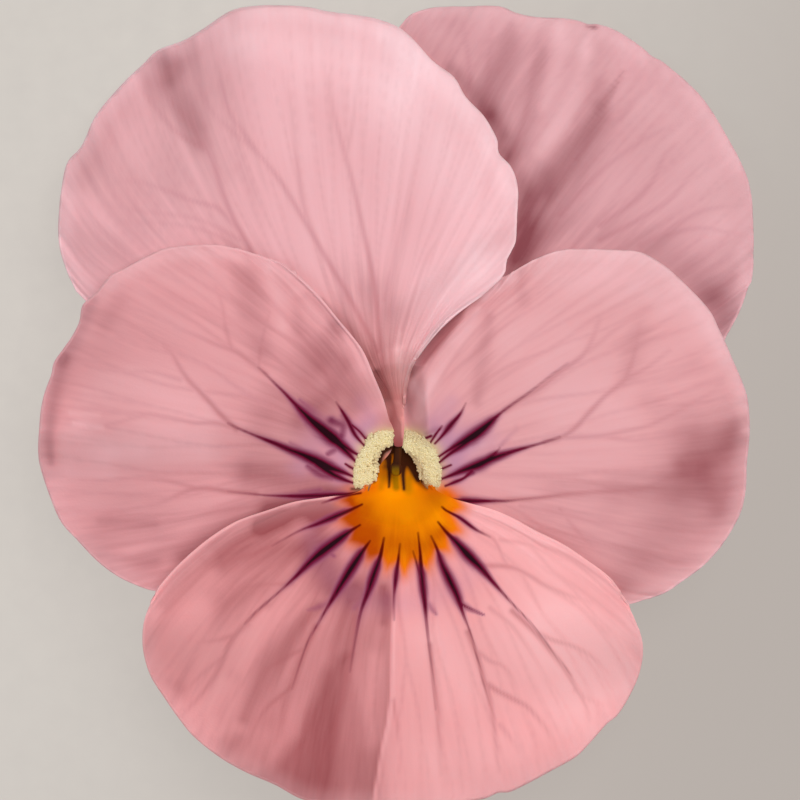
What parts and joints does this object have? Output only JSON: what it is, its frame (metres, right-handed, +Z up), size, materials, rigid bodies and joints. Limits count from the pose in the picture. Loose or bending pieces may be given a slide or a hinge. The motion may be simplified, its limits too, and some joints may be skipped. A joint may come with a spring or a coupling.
{
  "type": "viola flower",
  "caption": "Pink viola flower picked with a short stalk, lying face up: overlapping waved petals round a dark throat, spur and sepals behind.",
  "frame": {"origin": "on the surface the flower lies on, at the flat underside of the stalk, straight below the throat", "axes": "+Z up out of the flower's face, +Y towards the upper petals, +X to the right as the flower is looked at"},
  "size_m": [0.0359, 0.0534, 0.0094],
  "materials": {
    "petal_pink": "matt",
    "sepal_green": "matt",
    "stalk_green": "satin",
    "pistil_yellow": "satin",
    "anther_cream": "matt"
  },
  "bodies": {
    "root": {"petal_upper_left": "petal_pink", "petal_upper_right": "petal_pink", "petal_lateral_left": "petal_pink", "petal_lateral_right": "petal_pink", "petal_lower": "petal_pink", "sepal_top": "sepal_green", "sepal_upper_left": "sepal_green", "sepal_upper_right": "sepal_green", "sepal_lower_left": "sepal_green", "sepal_lower_right": "sepal_green", "stalk": "stalk_green", "pistil": "pistil_yellow", "stamen_1": "anther_cream", "stamen_2": "anther_cream", "stamen_3": "anther_cream", "stamen_4": "anther_cream", "stamen_5": "anther_cream"}
  },
  "joints": []
}
